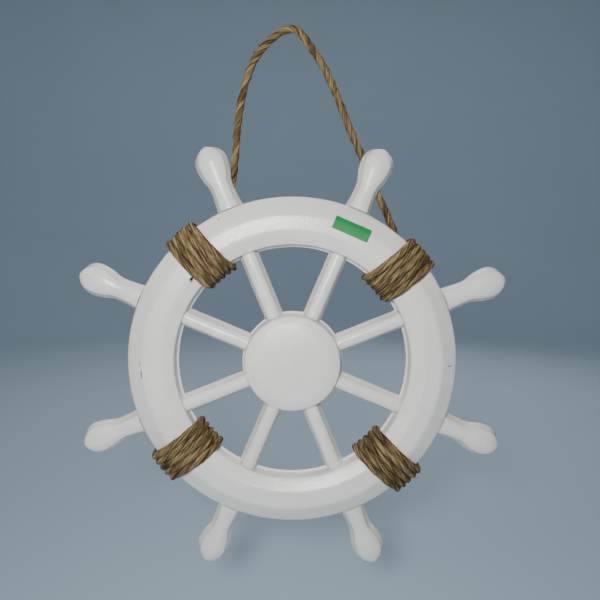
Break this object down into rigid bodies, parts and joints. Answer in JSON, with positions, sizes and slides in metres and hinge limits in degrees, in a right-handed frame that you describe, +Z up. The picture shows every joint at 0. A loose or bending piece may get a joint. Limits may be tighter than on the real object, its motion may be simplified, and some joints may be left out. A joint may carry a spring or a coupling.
{
  "type": "ship steering wheel wall hanging",
  "caption": "Decorative ship's steering wheel in painted wood with turned grips, rope-bound rim and a rope loop to hang it by.",
  "frame": {"origin": "middle of the hub's flat back face", "axes": "+Y out of the wheel's back towards the wall, +Z up towards the hanging loop, the front faces -Y"},
  "size_m": [0.422, 0.037, 0.5385],
  "materials": {
    "rim_paint": "semi-gloss white paint over wood",
    "hub_paint": "semi-gloss white paint over wood",
    "spoke_paint": "semi-gloss white paint over wood",
    "handle_paint": "semi-gloss white paint over wood",
    "wrap_jute": "three-strand jute rope",
    "hanger_jute": "three-strand jute rope, a little more golden",
    "label_paper": "green paper label, blank"
  },
  "bodies": {
    "wheel": {"rim_segment_1": "rim_paint", "rim_segment_2": "rim_paint", "rim_segment_3": "rim_paint", "rim_segment_4": "rim_paint", "rim_segment_5": "rim_paint", "rim_segment_6": "rim_paint", "rim_segment_7": "rim_paint", "rim_segment_8": "rim_paint", "hub": "hub_paint", "spoke_1": "spoke_paint", "spoke_2": "spoke_paint", "spoke_3": "spoke_paint", "spoke_4": "spoke_paint", "spoke_5": "spoke_paint", "spoke_6": "spoke_paint", "spoke_7": "spoke_paint", "spoke_8": "spoke_paint", "handle_1": "handle_paint", "handle_2": "handle_paint", "handle_3": "handle_paint", "handle_4": "handle_paint", "handle_5": "handle_paint", "handle_6": "handle_paint", "handle_7": "handle_paint", "handle_8": "handle_paint", "rope_wrap_upper_right": "wrap_jute", "rope_wrap_upper_left": "wrap_jute", "rope_wrap_lower_left": "wrap_jute", "rope_wrap_lower_right": "wrap_jute", "price_label": "label_paper"},
    "hanger": {"hanger_rope": "hanger_jute"}
  },
  "joints": [
    {"name": "hanger_fold", "type": "hinge", "parent": "wheel", "child": "hanger", "pos_m": [0, 0.0045, 0.125], "axis": [-1, 0, 0], "range_deg": [0, 135]}
  ]
}
